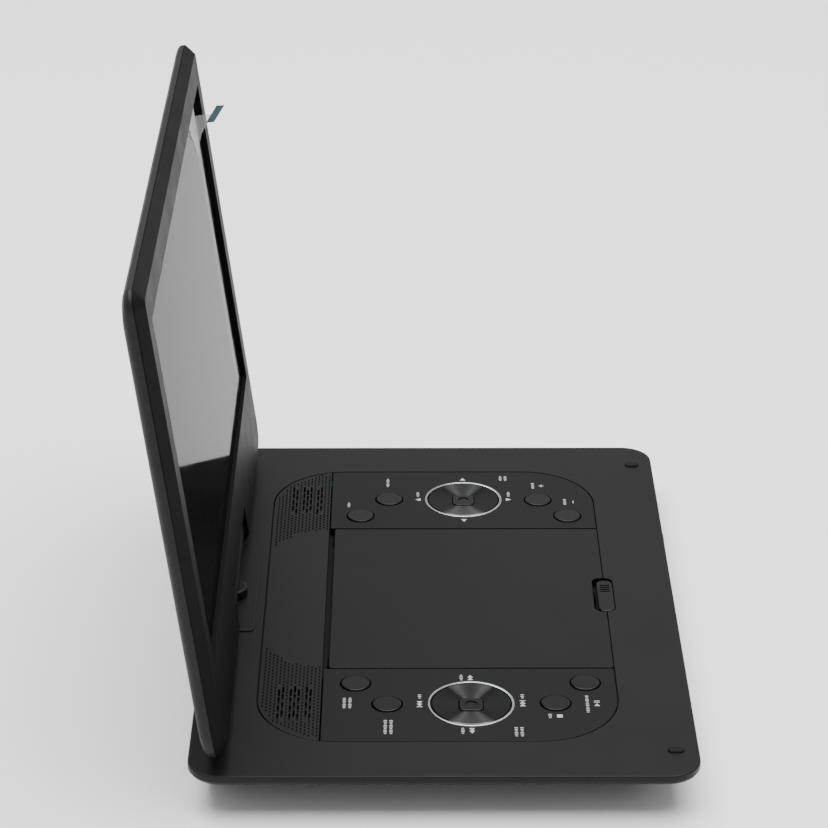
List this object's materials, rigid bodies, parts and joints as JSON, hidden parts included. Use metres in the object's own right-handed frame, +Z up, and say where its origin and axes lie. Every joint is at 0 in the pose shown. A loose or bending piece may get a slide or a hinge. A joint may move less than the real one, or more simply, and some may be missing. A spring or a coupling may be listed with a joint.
{
  "type": "portable dvd player",
  "caption": "Clamshell disc player: slim base with disc well and round controls, wide screen lid on a swivel and tilt hinge.",
  "frame": {"origin": "on the table plane, under the centre of the base's footprint", "axes": "+X to the user's right along the hinge, +Y from the user towards the hinge, +Z up"},
  "size_m": [0.3306, 0.2472, 0.2527],
  "materials": {
    "deck_plastic": "satin black",
    "case_plastic": "fine matt black",
    "panel_plastic": "polished black",
    "key_plastic": "polished black",
    "chrome_trim": "bright",
    "steel": "zinc plated",
    "rubber_black": "matt",
    "rubber_grey": "matt",
    "tray_plastic": "matt black",
    "board_green": "solder mask",
    "battery_wrap": "shrink film",
    "speaker_black": "paper and plastic",
    "jack_plastic": "matt",
    "window_red": "dark tinted",
    "gear_white": "acetal",
    "sled_metal": "die cast",
    "lens_glass": "clear",
    "screen_glass": "dark display",
    "film_clear": "clear film"
  },
  "bodies": {
    "base": {"base_top_cover": "deck_plastic", "base_bottom_cover": "case_plastic", "speaker_strip": "deck_plastic", "left_control_panel": "panel_plastic", "right_control_panel": "panel_plastic", "chrome_rings": "chrome_trim", "disc_tray": "tray_plastic", "key_boards": "board_green", "rubber_feet": "rubber_black", "base_screws": "steel", "main_board": "board_green", "battery_pack": "battery_wrap", "speakers": "speaker_black", "drive_chassis": "steel", "guide_rods": "steel", "rubber_dampers": "rubber_grey", "spindle_motor": "steel", "dc_and_av_jacks": "jack_plastic", "usb_port": "steel", "port_board": "board_green", "remote_window": "window_red", "lid_bumpers": "rubber_black", "swivel_bracket": "steel"},
    "disc_door": {"disc_door": "deck_plastic", "door_hinge_pins": "steel"},
    "open_latch": {"open_latch": "key_plastic"},
    "turntable": {"turntable_hub": "tray_plastic"},
    "laser_sled": {"laser_sled": "sled_metal", "laser_lens": "lens_glass"},
    "sled_gear": {"sled_gear": "gear_white"},
    "power_switch": {"power_switch": "key_plastic"},
    "volume_wheel": {"volume_wheel": "key_plastic"},
    "hinge_housing": {"hinge_housing": "deck_plastic", "swivel_shaft": "steel", "swivel_nut": "steel", "friction_clips": "steel"},
    "lid": {"lid_back_cover": "case_plastic", "lid_front_bezel": "deck_plastic", "lid_screws": "steel", "lcd_panel": "screen_glass", "lcd_frame": "steel", "lcd_board": "board_green", "protective_film": "film_clear", "hinge_brackets": "steel", "tilt_pins": "steel"},
    "mode_button": {"mode_button": "key_plastic"},
    "source_button": {"source_button": "key_plastic"},
    "stop_button": {"stop_button": "key_plastic"},
    "play_button": {"play_button": "key_plastic"},
    "mute_button": {"mute_button": "key_plastic"},
    "picture_button": {"picture_button": "key_plastic"},
    "volume_up_button": {"volume_up_button": "key_plastic"},
    "volume_down_button": {"volume_down_button": "key_plastic"},
    "left_rocker_mat": {"left_rocker_mat": "rubber_grey"},
    "left_rocker_disc": {"left_rocker_disc": "key_plastic"},
    "left_centre_key": {"left_centre_key": "key_plastic"},
    "right_rocker_mat": {"right_rocker_mat": "rubber_grey"},
    "right_rocker_disc": {"right_rocker_disc": "key_plastic"},
    "right_centre_key": {"right_centre_key": "key_plastic"}
  },
  "joints": [
    {"name": "screen_swivel", "type": "hinge", "parent": "base", "child": "hinge_housing", "pos_m": [0, 0.1018, 0.0245], "axis": [0, 0, 1], "range_deg": [-180, 90]},
    {"name": "lid_tilt", "type": "hinge", "parent": "hinge_housing", "child": "lid", "pos_m": [0, 0.1056, 0.0344], "axis": [-1, 0, 0], "range_deg": [-97.3, 82.7]},
    {"name": "disc_door", "type": "hinge", "parent": "base", "child": "disc_door", "pos_m": [0, 0.0526, 0.0208], "axis": [1, 0, 0], "range_deg": [-50, 0]},
    {"name": "latch_slide", "type": "slide", "parent": "base", "child": "open_latch", "axis": [1, 0, 0], "range_m": [0, 0.0025], "stiffness_N_per_m": 400},
    {"name": "turntable_spin", "type": "hinge", "parent": "base", "child": "turntable", "pos_m": [0, -0.0136, 0.014], "axis": [0, 0, 1], "continuous": true},
    {"name": "sled_travel", "type": "slide", "parent": "base", "child": "laser_sled", "axis": [1, 0, 0], "range_m": [0, 0.032]},
    {"name": "sled_gear_turn", "type": "hinge", "parent": "base", "child": "sled_gear", "pos_m": [0.033, -0.0381, 0.008], "axis": [0, 0, 1], "range_deg": [-460, 0]},
    {"name": "power_switch_slide", "type": "slide", "parent": "base", "child": "power_switch", "axis": [0, 1, 0], "range_m": [0, 0.0035]},
    {"name": "volume_wheel_turn", "type": "hinge", "parent": "base", "child": "volume_wheel", "pos_m": [0.1435, 0.062, 0.0151], "axis": [0, 0, 1], "range_deg": [-140, 140]},
    {"name": "mode_button_press", "type": "slide", "parent": "base", "child": "mode_button", "axis": [0, 0, -1], "range_m": [0, 0.0006], "stiffness_N_per_m": 800, "springref_m": -0.0003},
    {"name": "source_button_press", "type": "slide", "parent": "base", "child": "source_button", "axis": [0, 0, -1], "range_m": [0, 0.0006], "stiffness_N_per_m": 800, "springref_m": -0.0003},
    {"name": "stop_button_press", "type": "slide", "parent": "base", "child": "stop_button", "axis": [0, 0, -1], "range_m": [0, 0.0006], "stiffness_N_per_m": 800, "springref_m": -0.0003},
    {"name": "play_button_press", "type": "slide", "parent": "base", "child": "play_button", "axis": [0, 0, -1], "range_m": [0, 0.0006], "stiffness_N_per_m": 800, "springref_m": -0.0003},
    {"name": "mute_button_press", "type": "slide", "parent": "base", "child": "mute_button", "axis": [0, 0, -1], "range_m": [0, 0.0006], "stiffness_N_per_m": 800, "springref_m": -0.0003},
    {"name": "picture_button_press", "type": "slide", "parent": "base", "child": "picture_button", "axis": [0, 0, -1], "range_m": [0, 0.0006], "stiffness_N_per_m": 800, "springref_m": -0.0003},
    {"name": "volume_up_button_press", "type": "slide", "parent": "base", "child": "volume_up_button", "axis": [0, 0, -1], "range_m": [0, 0.0006], "stiffness_N_per_m": 800, "springref_m": -0.0003},
    {"name": "volume_down_button_press", "type": "slide", "parent": "base", "child": "volume_down_button", "axis": [0, 0, -1], "range_m": [0, 0.0006], "stiffness_N_per_m": 800, "springref_m": -0.0003},
    {"name": "left_disc_rock_x", "type": "hinge", "parent": "base", "child": "left_rocker_mat", "pos_m": [-0.1031, -0.0129, 0.0205], "axis": [1, 0, 0], "range_deg": [-1.5, 1.5], "stiffness_Nm_per_rad": 2},
    {"name": "left_disc_rock_y", "type": "hinge", "parent": "left_rocker_mat", "child": "left_rocker_disc", "pos_m": [-0.1031, -0.0129, 0.0205], "axis": [0, 1, 0], "range_deg": [-1.5, 1.5], "stiffness_Nm_per_rad": 2},
    {"name": "left_centre_key_press", "type": "slide", "parent": "base", "child": "left_centre_key", "axis": [0, 0, -1], "range_m": [0, 0.0006], "stiffness_N_per_m": 800, "springref_m": -0.0003},
    {"name": "right_disc_rock_x", "type": "hinge", "parent": "base", "child": "right_rocker_mat", "pos_m": [0.1031, -0.0129, 0.0205], "axis": [1, 0, 0], "range_deg": [-1.5, 1.5], "stiffness_Nm_per_rad": 2},
    {"name": "right_disc_rock_y", "type": "hinge", "parent": "right_rocker_mat", "child": "right_rocker_disc", "pos_m": [0.1031, -0.0129, 0.0205], "axis": [0, 1, 0], "range_deg": [-1.5, 1.5], "stiffness_Nm_per_rad": 2},
    {"name": "right_centre_key_press", "type": "slide", "parent": "base", "child": "right_centre_key", "axis": [0, 0, -1], "range_m": [0, 0.0006], "stiffness_N_per_m": 800, "springref_m": -0.0003}
  ],
  "couplings": [
    {"joint": "sled_gear_turn", "follows": "sled_travel", "rad_per_m": -250}
  ]
}
